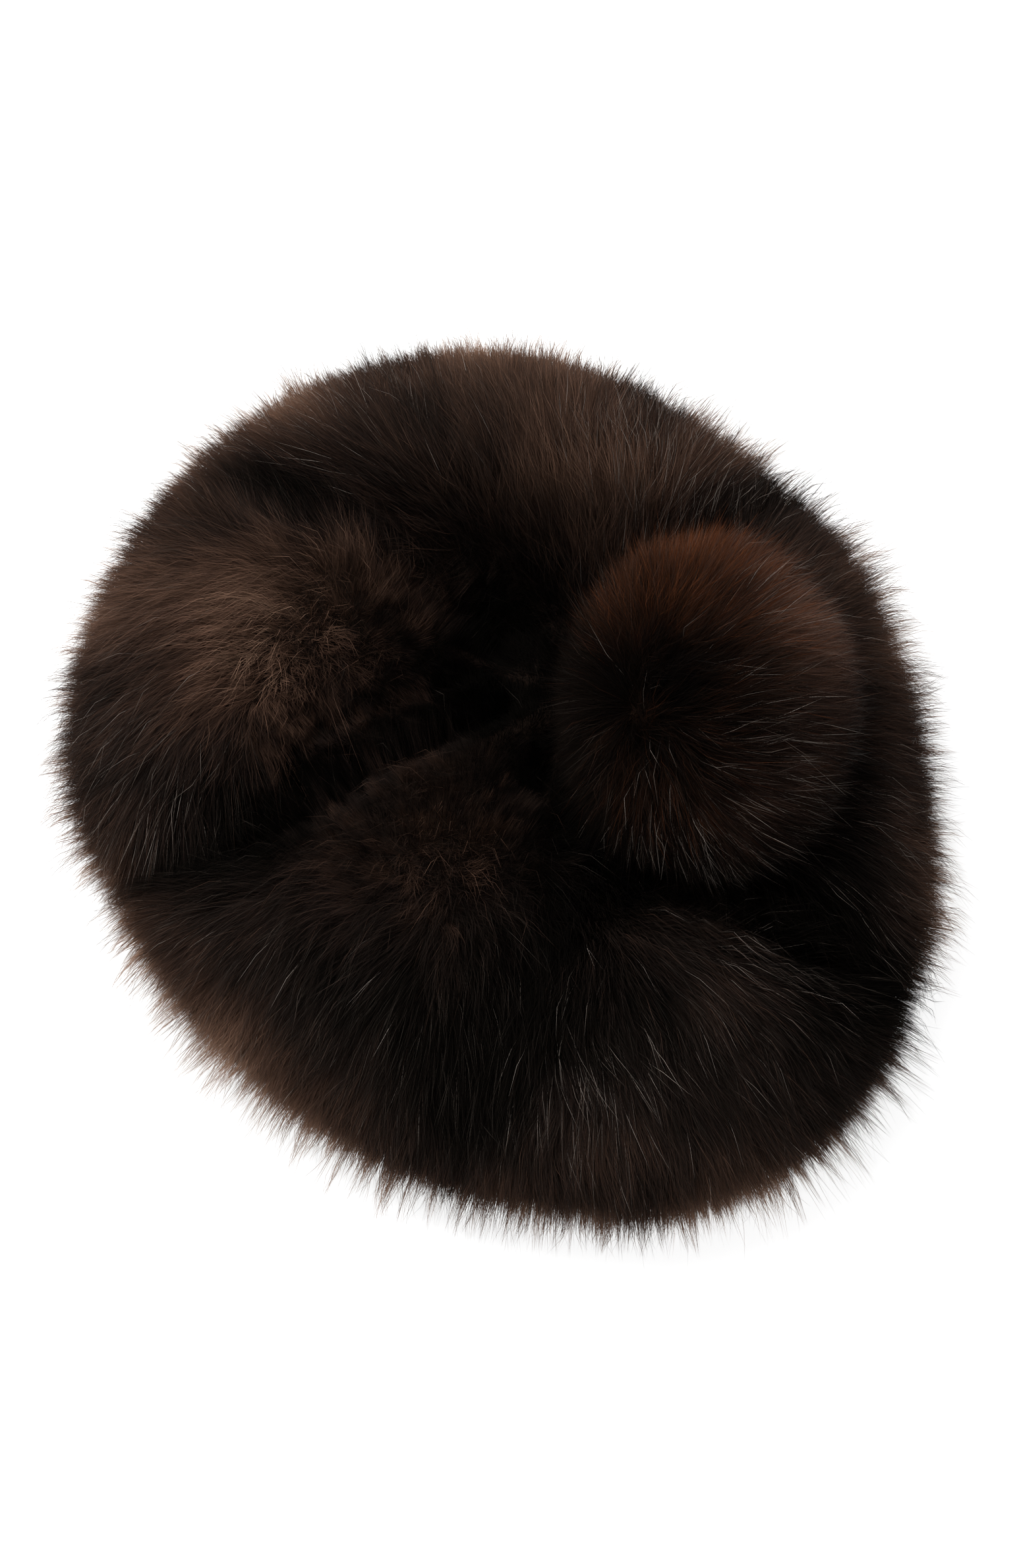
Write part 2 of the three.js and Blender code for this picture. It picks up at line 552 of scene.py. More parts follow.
@dataclass(frozen=True)
class Skin:
    """The triangles of a piece that carry hair."""

    corners: Array
    normals: Array

    @classmethod
    def of(cls, piece: bpy.types.Object, lowest: float = -math.inf) -> "Skin":
        """Reads the skin off a finished piece.

        Args:
            piece: the piece, whose first material is its hair side.
            lowest: the height that hair grows above.

        Returns:
            The skin.
        """
        mesh = piece.data
        mesh.calc_loop_triangles()
        count = len(mesh.loop_triangles)
        ends = np.zeros(count * 3, int)
        mesh.loop_triangles.foreach_get("vertices", ends)
        slots = np.zeros(count, int)
        mesh.loop_triangles.foreach_get("material_index", slots)
        places = np.zeros(len(mesh.vertices) * 3)
        mesh.vertices.foreach_get("co", places)
        outs = np.zeros(len(mesh.vertices) * 3)
        mesh.vertex_normals.foreach_get("vector", outs)
        ends = ends.reshape(-1, 3)
        corners = places.reshape(-1, 3)[ends]
        normals = outs.reshape(-1, 3)[ends]
        kept = (slots == 0) & (corners[:, :, 2].mean(axis=1) > lowest)
        return cls(corners[kept], normals[kept])

    def roots(self, count: int, favour: Favour, seed: int) -> Roots:
        """Spreads roots evenly over the skin.

        Args:
            count: how many.
            favour: says from the middles of faces how dense hair is there.
            seed: for the random numbers.

        Returns:
            The roots.
        """
        rng = np.random.default_rng(seed)
        first, second, third = (self.corners[:, i] for i in range(3))
        area = np.linalg.norm(np.cross(second - first, third - first), axis=1)
        weight = area * favour(Roots(self.corners.mean(axis=1), unit(self.normals.mean(axis=1))))
        marks = (np.arange(count) + rng.uniform(0, 1, count)) / count
        chosen = np.searchsorted(np.cumsum(weight) / weight.sum(), marks)
        chosen = np.minimum(chosen, len(weight) - 1)
        across, along = rng.uniform(0, 1, (2, count))
        folded = across + along > 1
        across[folded], along[folded] = 1 - across[folded], 1 - along[folded]
        shares = np.stack([1 - across - along, across, along], axis=1)[:, :, None]
        places = (self.corners[chosen] * shares).sum(axis=1)
        return Roots(places, unit((self.normals[chosen] * shares).sum(axis=1)))


@dataclass(frozen=True)
class Form:
    """The outer form that a fur fills out to."""

    tree: BVHTree
    pressed_share: float = 0.9

    @classmethod
    def of(cls, node: Node) -> "Form":
        """Reads the form off a node.

        Args:
            node: the node.

        Returns:
            The form.
        """
        mesh = frame["nodes"][node.value].data
        places = [vertex.co for vertex in mesh.vertices]
        faces = [tuple(face.vertices) for face in mesh.polygons]
        return cls(BVHTree.FromPolygons(places, faces))

    def press(self, places: Array, proud: Array) -> Array:
        """Presses places back to the form where they stand too proud of it.

        Args:
            places: points in metres.
            proud: how far each may stand out, in metres.

        Returns:
            The points, where they may be.
        """
        pressed = places.copy()
        for index, (place, room) in enumerate(zip(places, proud)):
            point = Vector(place)
            nearest, out, _, _ = self.tree.find_nearest(point)
            over = (point - nearest).dot(out) - room
            if over > 0:
                pressed[index] = point - out * (over * self.pressed_share)
        return pressed


@dataclass(frozen=True)
class Patch:
    """A patch seen from above, in which a number is greater, or less if it is negative."""

    name: str
    x: float
    y: float
    radius: float
    amount: float


def charted(patches: Iterable[Patch], roots: Roots) -> Array:
    """Adds up patches, each of which fades out over its radius.

    Args:
        patches: the patches.
        roots: where to read them.

    Returns:
        One sum for each root.
    """
    plan = roots.places[:, :2] / MM
    total = np.zeros(len(plan))
    for patch in patches:
        apart = ((plan - (patch.x, patch.y)) ** 2).sum(axis=1)
        total += patch.amount * np.exp(-apart / patch.radius**2)
    return total


@dataclass(frozen=True, kw_only=True)
class Groom(ABC):
    """How the hair of one sub-assembly lies, wherever it grows."""

    base_tone: float
    patches: tuple[Patch, ...]
    mottling: tuple[Ripple, ...]
    silver_share: float
    silver_and_glint_patches: tuple[Patch, ...]

    @abstractmethod
    def heading(self, roots: Roots) -> Array:
        """The way that the hair lies along the skin."""

    @abstractmethod
    def lift(self, roots: Roots) -> Array:
        """How steeply it stands, where 1 is usual."""

    @abstractmethod
    def length(self, roots: Roots) -> Array:
        """How long it is, where 1 is usual."""

    @abstractmethod
    def wool(self, roots: Roots) -> Array:
        """How woolly it is, from 0 to 1."""

    @abstractmethod
    def proud(self, roots: Roots) -> Array:
        """How far it may stand out of the form, in millimetres."""

    def sunk(self, places: Array) -> Array:
        """How far it is pressed in at some places, in millimetres."""
        return np.zeros(len(places))

    def gather(self, roots: Roots) -> Array:
        """How far it closes up to its tuft, where 1 is usual."""
        return np.ones(len(roots.places))

    def loose(self, roots: Roots) -> Array:
        """How far single hairs stand off, where 1 is usual."""
        return np.ones(len(roots.places))

    def tone(self, roots: Roots) -> Array:
        """How light it is, from 0 to 1: the charted patches, with mottling."""
        mottles = sum(ripple.at(roots.places) for ripple in self.mottling)
        return self.base_tone + charted(self.patches, roots) + mottles

    def silver(self, roots: Roots) -> Array:
        """How many guard hairs are silver, from 0 to 1: pale hairs, partly painted glints."""
        return self.silver_share + charted(self.silver_and_glint_patches, roots)

    def coloured(self, tones: Array, roots: Roots, rng: np.random.Generator) -> Array:
        """Where on the map each hair finds its tone, in the colour that it has."""
        return tones


@dataclass(frozen=True, kw_only=True)
class Hair:
    """One kind of hair. Angles are in degrees, and scatters are shares of the usual size."""

    kind: Kind
    count: int
    segments: int
    length_mm: float
    width_mm: float
    root_lift: float
    tip_lift: float
    waver: float
    roll: float
    scatter: float
    pull: float
    stray_mm: float
    tone_shift: float = 0.0
    tone_scatter: float = 0.03
    silver: float = 0.0


@dataclass(frozen=True)
class Ribbons:
    """Finished hairs of one kind: corners, triangles, the map's numbers and each one's side."""

    corners: Array
    ends: Array
    marks: Array
    turns: Array


FLOOR_CLEARANCE = 0.5 * MM
SKIN_CLEARANCE = 2.5 * MM
REACH_MM = 11.5


@dataclass(frozen=True)
class Tufts:
    """The tufts that hairs of every kind close up to, each with its own ways."""

    roots: Roots
    turn: Array
    tone: Array
    height: Array

    @classmethod
    def over(cls, skin: Skin, count: int, seed: int) -> "Tufts":
        """Spreads tufts over a skin.

        Args:
            skin: the skin.
            count: how many.
            seed: for the random numbers.

        Returns:
            The tufts.
        """
        ways = np.random.default_rng((seed, 5)).standard_normal((3, count))
        return cls(skin.roots(count, everywhere, seed), *ways)

    def nearest(self, places: Array) -> Array:
        """Finds the tuft that each place belongs to.

        Args:
            places: points on the skin.

        Returns:
            The numbers of their tufts.
        """
        tree = KDTree(len(self.roots.places))
        for index, place in enumerate(self.roots.places):
            tree.insert(place, index)
        tree.balance()
        return np.array([tree.find(place)[1] for place in places])


@dataclass(frozen=True)
class Ways:
    """How unlike its neighbours each hair and each tuft is, and how hairs close up."""

    tuft_turn: float = 8.0
    wool_turn: float = 10.0
    tuft_reach: float = 0.1
    gathered_reach: float = 0.05
    tuft_tone: float = 0.02
    wool_tone: float = 0.035
    wool_waver: float = 0.8
    lift_scatter: float = 0.14
    flattest: float = 4.0
    steepest: float = 88.0
    closing: float = 1.5
    most_pull: float = 0.85
    tuft_stray: float = 0.45
    most_stray: float = 3.0
    ragged_mm: float = 2.0
    silver_width: float = 0.75
    root_fullness: float = 0.8


@dataclass
class Coat:
    """Grows the hair of one sub-assembly."""

    skin: Skin
    form: Form
    groom: Groom
    tufts: Tufts
    seed: int
    middle: tuple[float, float]
    ways: Ways = Ways()

    def grow(self, hair: Hair, favour: Favour, turn: int) -> Ribbons:
        """Grows every hair of one kind.

        Args:
            hair: the kind.
            favour: says how dense it is over the skin.
            turn: which kind this is, for the random numbers.

        Returns:
            The ribbons.
        """
        rng = np.random.default_rng((self.seed, turn))
        roots = self.skin.roots(hair.count, favour, self.seed * 100 + turn)
        homes = self.tufts.nearest(roots.places)
        paths = self._paths(hair, roots, homes, rng)
        tones = self._tones(hair, roots, homes, rng)
        around = np.arctan2(*(roots.places[:, :2] - self.middle).T[::-1])
        return self._ribbons(hair, paths, roots.normals, tones, around, rng)

    def _combed(
        self, hair: Hair, roots: Roots, homes: Array, waver: Array, steep: Array, reach: Array
    ) -> Array:
        """Bends hairs the way that the groom says.

        Args:
            hair: the kind.
            roots: where they grow.
            homes: the tuft that each belongs to.
            waver: how far each turns aside, in radians.
            steep: how much steeper each stands, where 1 is usual.
            reach: how much longer each is, where 1 is usual.

        Returns:
            The points that each hair passes.
        """
        ways, wool = self.ways, self.groom.wool(roots)
        along = self.groom.heading(roots)
        turn = waver + self.tufts.turn[homes] * np.radians(ways.tuft_turn + ways.wool_turn * wool)
        across = np.cross(along, roots.normals)
        along = unit(np.cos(turn)[:, None] * along + np.sin(turn)[:, None] * across)
        steep = steep * self.groom.lift(roots)
        height = np.clip(self.tufts.height[homes], -2, 2)
        height *= ways.tuft_reach + ways.gathered_reach * self.groom.gather(roots)
        reach = reach * hair.length_mm * MM * self.groom.length(roots) * (1 + height)
        paths = np.zeros((len(along), hair.segments + 1, 3))
        paths[:, 0] = roots.places
        for step in range(hair.segments):
            share = (step + 0.5) / hair.segments
            degrees = hair.root_lift + (hair.tip_lift - hair.root_lift) * share
            lift = np.radians(np.clip(degrees * steep, ways.flattest, ways.steepest))[:, None]
            course = np.cos(lift) * along + np.sin(lift) * roots.normals
            paths[:, step + 1] = paths[:, step] + course * reach[:, None] / hair.segments
        return paths

    def _paths(self, hair: Hair, roots: Roots, homes: Array, rng: np.random.Generator) -> Array:
        """Lays every hair, closed up to its tuft and pressed to the form.

        Args:
            hair: the kind.
            roots: where they grow.
            homes: the tuft that each belongs to.
            rng: the random numbers.

        Returns:
            The points that each hair passes.
        """
        ways, count = self.ways, len(roots.places)
        waver = np.radians(hair.waver) * (1 + ways.wool_waver * self.groom.wool(roots))
        waver *= rng.standard_normal(count)
        steep = 1 + ways.lift_scatter * rng.standard_normal(count)
        reach = 1 + hair.scatter * rng.uniform(-1, 1, count)
        paths = self._combed(hair, roots, homes, waver, steep, reach)
        all_tufts = np.arange(len(self.tufts.turn))
        even = np.ones(len(all_tufts))
        leads = self._combed(hair, self.tufts.roots, all_tufts, 0 * even, even, even)
        pull = np.minimum(hair.pull * self.groom.gather(roots), ways.most_pull)[:, None]
        for step in range(1, hair.segments + 1):
            share = (step / hair.segments) ** ways.closing
            paths[:, step] += pull * share * (leads[homes, step] - paths[:, step])
        return self._pressed(hair, roots, paths, self._room(hair, roots, homes, rng))

    def _room(self, hair: Hair, roots: Roots, homes: Array, rng: np.random.Generator) -> Array:
        """Says how far each hair may stand out of the form.

        Args:
            hair: the kind.
            roots: where they grow.
            homes: the tuft that each belongs to.
            rng: the random numbers.

        Returns:
            One number for each hair, in millimetres, within the space round the form.
        """
        ways, count = self.ways, len(roots.places)
        stray = hair.stray_mm * rng.exponential(1, count)
        stray *= np.exp(ways.tuft_stray * self.tufts.height[homes])
        stray = np.minimum(stray, ways.most_stray * hair.stray_mm) * self.groom.loose(roots)
        proud = self.groom.proud(roots) - rng.uniform(0, ways.ragged_mm, count)
        side = np.abs(roots.normals[:, :2]).max(axis=1)
        return np.minimum(proud + stray, REACH_MM / np.maximum(side**4, 0.5))

    def _pressed(self, hair: Hair, roots: Roots, paths: Array, room: Array) -> Array:
        """Keeps hairs near the form, clear of the skin and above the floor.

        Args:
            hair: the kind.
            roots: where they grow.
            paths: the points that each hair passes.
            room: how far each may stand out of the form, in millimetres.

        Returns:
            The points, where they may be.
        """
        for step in range(1, hair.segments + 1):
            share = step / hair.segments
            near = room * share - self.groom.sunk(paths[:, step])
            paths[:, step] = self.form.press(paths[:, step], near * MM)
            height = ((paths[:, step] - roots.places) * roots.normals).sum(axis=1)
            short = np.maximum(SKIN_CLEARANCE * share - height, 0)
            paths[:, step] += short[:, None] * roots.normals
        paths[:, :, 2] = np.maximum(paths[:, :, 2], FLOOR_CLEARANCE)
        return paths

    def _tones(self, hair: Hair, roots: Roots, homes: Array, rng: np.random.Generator) -> Array:
        """Says how light each hair is.

        Args:
            hair: the kind.
            roots: where they grow.
            homes: the tuft that each belongs to.
            rng: the random numbers.

        Returns:
            One place across the map for each hair, from 0 to 1.
        """
        ways, count = self.ways, len(roots.places)
        tones = self.groom.tone(roots) + hair.tone_shift
        tones += hair.tone_scatter * rng.standard_normal(count)
        tones += (ways.tuft_tone + ways.wool_tone * self.groom.wool(roots)) * self.tufts.tone[homes]
        tones = np.clip(tones, TONE_WIDTH, TONE_TOP - TONE_WIDTH)
        tones = self.groom.coloured(tones, roots, rng)
        silver = rng.uniform(0, 1, count) < hair.silver * self.groom.silver(roots)
        tones[silver] = rng.uniform(SILVER_LOW, 1 - TONE_WIDTH, silver.sum())
        return tones

    def _ribbons(
        self,
        hair: Hair,
        paths: Array,
        outs: Array,
        tones: Array,
        around: Array,
        rng: np.random.Generator,
    ) -> Ribbons:
        """Gives each path its width and its place on the map.

        Args:
            hair: the kind.
            paths: the points that each hair passes.
            outs: the way out of the skin at each root.
            tones: the place of each hair across the map.
            around: the side that each hair is on, as an angle.
            rng: the random numbers.

        Returns:
            The ribbons.
        """
        count, knots = len(paths), hair.segments
        roll = np.radians(hair.roll) * rng.uniform(-1, 1, count)[:, None]
        corners = np.zeros((count, 2 * knots + 1, 3))
        marks = np.zeros((count, 2 * knots + 1, 2))
        width = hair.width_mm * MM * rng.uniform(0.75, 1.25, count)
        width[tones > SILVER_LOW] *= self.ways.silver_width
        for knot in range(knots):
            course = unit(paths[:, knot + 1] - paths[:, knot])
            flat = unit(np.cross(course, outs))
            side = np.cos(roll) * flat + np.sin(roll) * np.cross(flat, course)
            fullness = 1 - (knot / knots) ** 2 if knot else self.ways.root_fullness
            half = (side.T * width * fullness / 2).T
            corners[:, 2 * knot] = paths[:, knot] - half
            corners[:, 2 * knot + 1] = paths[:, knot] + half
            marks[:, 2 * knot, 0] = tones - TONE_WIDTH / 2
            marks[:, 2 * knot + 1, 0] = tones + TONE_WIDTH / 2
            marks[:, 2 * knot : 2 * knot + 2, 1] = knot / knots
        corners[:, -1] = paths[:, -1]
        marks[:, -1, 0] = tones
        marks[:, -1, 1] = 1
        pattern = []
        for low in range(0, 2 * knots - 2, 2):
            pattern += [(low, low + 1, low + 3), (low, low + 3, low + 2)]
        pattern.append((2 * knots - 2, 2 * knots - 1, 2 * knots))
        return Ribbons(corners, np.array(pattern), marks, around)

    def pieces(self, names: tuple[str, ...], grown: list[Ribbons]) -> list[bpy.types.Object]:
        """Shares the hair out to pieces, like the slices of a cake.

        Args:
            names: the pieces' names.
            grown: the ribbons of every kind.

        Returns:
            One mesh piece for each name.
        """
        made = []
        for index, name in enumerate(names):
            batches = []
            for ribbons in grown:
                order = np.argsort(ribbons.turns, kind="stable")
                batches.append((ribbons, np.array_split(order, len(names))[index]))
            made.append(self._mesh(name, batches))
        return made

    def _mesh(self, name: str, batches: list[tuple[Ribbons, Array]]) -> bpy.types.Object:
        """Joins chosen ribbons of several kinds into one mesh.

        Args:
            name: the piece's name.
            batches: ribbons, each with the numbers of those that are chosen.

        Returns:
            The piece.
        """
        corners, ends, marks, start = [], [], [], 0
        for ribbons, chosen in batches:
            each = ribbons.corners.shape[1]
            firsts = start + each * np.arange(len(chosen))
            ends.append((firsts[:, None, None] + ribbons.ends).reshape(-1, 3))
            corners.append(ribbons.corners[chosen].reshape(-1, 3))
            marks.append(ribbons.marks[chosen].reshape(-1, 2))
            start += each * len(chosen)
        corners, ends, marks = (np.concatenate(part) for part in (corners, ends, marks))
        mesh = bpy.data.meshes.new(name)
        mesh.vertices.add(len(corners))
        mesh.vertices.foreach_set("co", corners.ravel().astype(np.float32))
        mesh.loops.add(ends.size)
        mesh.loops.foreach_set("vertex_index", ends.ravel().astype(np.int32))
        mesh.polygons.add(len(ends))
        mesh.polygons.foreach_set("loop_start", np.arange(0, ends.size, 3, dtype=np.int32))
        mesh.polygons.foreach_set("use_smooth", np.ones(len(ends), bool))
        layer = mesh.uv_layers.new(name=HAIR_MAP)
        layer.data.foreach_set("uv", marks[ends.ravel()].ravel().astype(np.float32))
        mesh.update()
        mesh.validate()
        piece = bpy.data.objects.new(name, mesh)
        bpy.context.scene.collection.objects.link(piece)
        return piece


@dataclass(kw_only=True)
class FurPart(ABC):
    """A sub-assembly: a skin, with the down and the guard hair that grow on it."""

    node: Node
    slot: Slot
    down_finish: HairFinish
    guard_finish: HairFinish
    down_names: tuple[str, ...]
    guard_names: tuple[str, ...]
    tufts: int
    seed: int
    hairs: tuple[Hair, ...]
    skins: list[bpy.types.Object] = field(default_factory=list)
    down: list[bpy.types.Object] = field(default_factory=list)
    guard: list[bpy.types.Object] = field(default_factory=list)

    @abstractmethod
    def build(self) -> None:
        """Makes what is under the fur, and grows the fur."""

    def grow(self, skin: Skin, groom: Groom, middle: tuple[float, float]) -> None:
        """Grows the fur, the last kind of hair in pieces of its own.

        Args:
            skin: the skin.
            groom: how the hair lies.
            middle: the middle of the sub-assembly, seen from above.
        """
        tufts = Tufts.over(skin, self.tufts, self.seed)
        coat = Coat(skin, Form.of(self.node), groom, tufts, self.seed, middle)
        grown = [coat.grow(hair, self.favour(hair), turn) for turn, hair in enumerate(self.hairs)]
        self.down = coat.pieces(self.down_names, grown[:-1])
        self.guard = coat.pieces(self.guard_names, grown[-1:])

    def favour(self, hair: Hair) -> Favour:
        """How dense a kind of hair is over the skin."""
        return everywhere

    def dress(self) -> None:
        """Gives the fur its finish, hangs every piece on the body and hides the form."""
        for pieces, finish in ((self.down, self.down_finish), (self.guard, self.guard_finish)):
            hair = finish.make()
            for piece in pieces:
                piece.data.materials.append(hair)
        for piece in self.pieces():
            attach(piece, Body.ROOT.value)
            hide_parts(self.node.value)

    def pieces(self) -> list[bpy.types.Object]:
        """Every piece of the sub-assembly."""
        return self.skins + self.down + self.guard


# The crown


@dataclass(frozen=True)
class Lay:
    """Which way the hair lies at one place of the crown, seen from above."""

    x: float
    y: float
    heading: float


@dataclass(frozen=True)
class Fold:
    """A fold of the crown, seen from above, as points that it passes."""

    name: str
    points: tuple[tuple[float, float], ...]
    width: float
    sunk: float
    tone: float

    def nearness(self, plan: Array) -> Array:
        """Says how near places are to the fold.

        Args:
            plan: places seen from above, in millimetres.

        Returns:
            One number for each place, from 0 to 1.
        """
        apart = np.full(len(plan), np.inf)
        for start, end in zip(self.points[:-1], self.points[1:]):
            start, run = np.array(start), np.array(end) - np.array(start)
            share = np.clip(((plan - start) @ run) / (run @ run), 0, 1)
            apart = np.minimum(apart, ((plan - start - share[:, None] * run) ** 2).sum(axis=1))
        return np.exp(-apart / self.width**2)


WANDER_MM = 4.0


def wandered(places: Array) -> Array:
    """Moves places about a little, so that no fold is straight.

    Args:
        places: points in metres.

    Returns:
        The places seen from above, in millimetres.
    """
    flat = places * (1, 1, 0)
    drift = [Ripple(16, seed).at(flat) + Ripple(6, seed, 0.5).at(flat) for seed in (41, 42)]
    return places[:, :2] / MM + WANDER_MM * np.stack(drift, axis=1)


WHORL = (20.0, 15.0)

# Charted in millimetres and degrees, 0 to the right and 90 to the back
LAYS = (
    # back left
    Lay(-105, 85, 150),
    Lay(-80, 90, 140),
    Lay(-30, 80, 130),
    Lay(-55, 125, 125),
    Lay(-15, 90, 130),
    # back
    Lay(10, 70, 115),
    Lay(10, 95, 100),
    Lay(35, 75, 95),
    Lay(-15, 120, 105),
    Lay(25, 125, 90),
    Lay(45, 125, 60),
    # back right
    Lay(80, 95, 50),
    Lay(110, 80, 40),
    Lay(120, 60, 25),
    # right
    Lay(125, 25, 355),
    Lay(125, -25, 350),
    Lay(140, -45, 340),
    Lay(115, -45, 335),
    Lay(120, -65, 325),
    Lay(95, -55, 330),
    # front right
    Lay(120, -100, 320),
    Lay(90, -95, 310),
    Lay(90, -140, 290),
    Lay(80, -125, 300),
    Lay(70, -60, 330),
    Lay(70, -90, 300),
    Lay(45, -80, 290),
    Lay(45, -45, 300),
    Lay(30, -115, 290),
    # front
    Lay(15, -110, 270),
    Lay(50, -145, 280),
    Lay(5, -140, 270),
    Lay(0, -115, 265),
    Lay(20, -35, 270),
    Lay(-10, -50, 260),
    Lay(-10, -35, 255),
    # front left
    Lay(-35, -100, 260),
    Lay(-40, -130, 255),
    Lay(-65, -90, 240),
    Lay(-65, -115, 240),
    Lay(-90, -80, 245),
    Lay(-45, -50, 230),
    Lay(-85, -55, 210),
    Lay(-110, -50, 220),
    # left
    Lay(-110, 60, 185),
    Lay(-105, 40, 220),
    Lay(-70, 40, 230),
    Lay(-110, 10, 245),
    Lay(-60, 20, 250),
    Lay(-90, -5, 255),
    Lay(-115, -10, 250),
    Lay(-60, -10, 215),
    Lay(-30, -10, 190),
)

PATCHES = (
    Patch("left lobe", -78, 52, 32, 0.28),
    Patch("left lobe, inner", -54, 62, 18, 0.2),
    Patch("left lobe, lower", -80, 24, 24, 0.22),
    Patch("left lobe, edge", -110, 30, 16, -0.14),
    Patch("back", 30, 92, 28, 0.22),
    Patch("wool below the fold", -12, -34, 18, 0.16),
    Patch("below the fold", -55, -42, 18, 0.14),
    Patch("front left lobe", -48, -68, 26, -0.28),
    Patch("front left lobe, outer", -82, -62, 18, -0.08),
    Patch("front lobe, right", 2, -64, 16, -0.12),
    Patch("dark streak, outer", -66, 84, 24, -0.28),
    Patch("dark streak, inner", 6, 66, 16, -0.12),
    Patch("between the streaks", -20, 60, 14, 0.24),
    Patch("back right", 90, 88, 26, -0.14),
    # Painted shade in the hollow beside the pompom, and left of it
    Patch("hollow beside the pompom", 7, 32, 28, -0.56),
    Patch("left of the pompom", 8, -20, 13, -0.22),
    Patch("front middle", 30, -80, 26, -0.2),
    Patch("right, middle", 101, -2, 14, -0.14),
    Patch("front", -6, -100, 26, -0.34),
    Patch("front right", 105, -80, 32, -0.24),
    Patch("front right, middle", 58, -106, 16, -0.14),
    # Painted shade in the left fold, and under and right of the pompom
    Patch("left fold", -82, -22, 22, -0.42),
    Patch("under the pompom", 31, -32, 22, -0.28),
    Patch("right of the pompom", 102, -43, 24, -0.28),
    # at the rim, partly painted light on the sides
    Patch("right edge", 138, -38, 20, 0.36),
    Patch("right edge, upper", 128, 42, 18, 0.28),
    Patch("back right edge", 112, 74, 18, 0.16),
    Patch("back edge, inside", 44, 116, 13, -0.16),
    Patch("back edge, right", 80, 108, 20, 0.38),
    Patch("back edge", 26, 138, 18, 0.38),
    Patch("back edge, warm", -6, 144, 22, 0.54),
    Patch("back edge, left", -64, 120, 18, 0.42),
    Patch("back left edge", -98, 104, 18, 0.3),
    Patch("left edge, upper", -130, 55, 20, 0.26),
    Patch("left edge, lower", -126, -40, 20, 0.34),
    Patch("left edge, lowest", -110, -72, 16, 0.28),
    Patch("front left edge", -86, -100, 26, 0.6),
    Patch("front left edge, lower", -62, -124, 18, 0.34),
    Patch("front edge", -22, -144, 20, 0.18),
    Patch("front right edge", 82, -140, 18, 0.34),
    Patch("front right edge, upper", 122, -102, 16, 0.14),
)

# The last column, tone, is painted shade along the bottom of each fold
FOLDS = (
    Fold("left", ((0, 34), (-14, 20), (-48, -2), (-80, -25), (-106, -33)), 11, 13, -0.36),
    Fold("front", ((22, 0), (40, -24), (64, -42), (92, -54), (118, -68)), 11, 13, -0.34),
    Fold("front seam", ((26, -40), (6, -80), (-8, -112)), 10, 5, -0.14),
    Fold("back left", ((4, 44), (-32, 74), (-70, 88)), 13, 5, -0.14),
    Fold("back right", ((44, 44), (70, 74), (90, 90)), 12, 3, -0.16),
)

# More silver guard hairs: partly their colour, partly painted glints and sheen, fewer in the
# hollow's shade
SILVER_AND_GLINT_PATCHES = (
    Patch("left edge", -115, -5, 30, 0.9),
    Patch("front left edge", -95, -85, 24, 0.5),
    Patch("front", 28, -106, 17, 1.7),
    Patch("front right", 72, -66, 24, 0.8),
    Patch("right edge", 130, -20, 24, 0.8),
    Patch("back left edge", -50, 124, 20, 2.4),
    Patch("back right", 64, 88, 22, 1.8),
    Patch("back, beside the pompom", 45, 92, 16, 1.2),
    Patch("hollow beside the pompom", 7, 28, 26, -0.12),
)


@dataclass(frozen=True)
class Rim:
    """How wild the rim's hair is at one side of the crown, and how light: partly painted light."""

    angle: float
    proud: float
    loose: float
    tone: float


# The same angles again, seen from the middle
RIMS = (
    Rim(0, -2.5, 1.8, 0.55),
    Rim(20, -5.0, 3.0, 0.5),
    Rim(45, -4.0, 3.8, 0.5),
    Rim(70, -5.5, 2.8, 0.55),
    Rim(85, -5.0, 2.4, 0.65),
    Rim(106, -3.0, 2.2, 0.15),
    Rim(125, -1.0, 2.2, 0.5),
    Rim(150, -4.0, 2.0, 0.55),
    Rim(180, -2.0, 2.0, 0.55),
    Rim(210, 0.0, 2.0, 0.6),
    Rim(235, -3.0, 2.0, 0.75),
    Rim(255, -3.0, 1.8, 0.65),
    Rim(270, -3.5, 1.7, 0.45),
    Rim(295, 0.5, 1.8, 0.45),
    Rim(320, -0.5, 2.0, 0.42),
    Rim(345, -4.5, 2.0, 0.65),
)


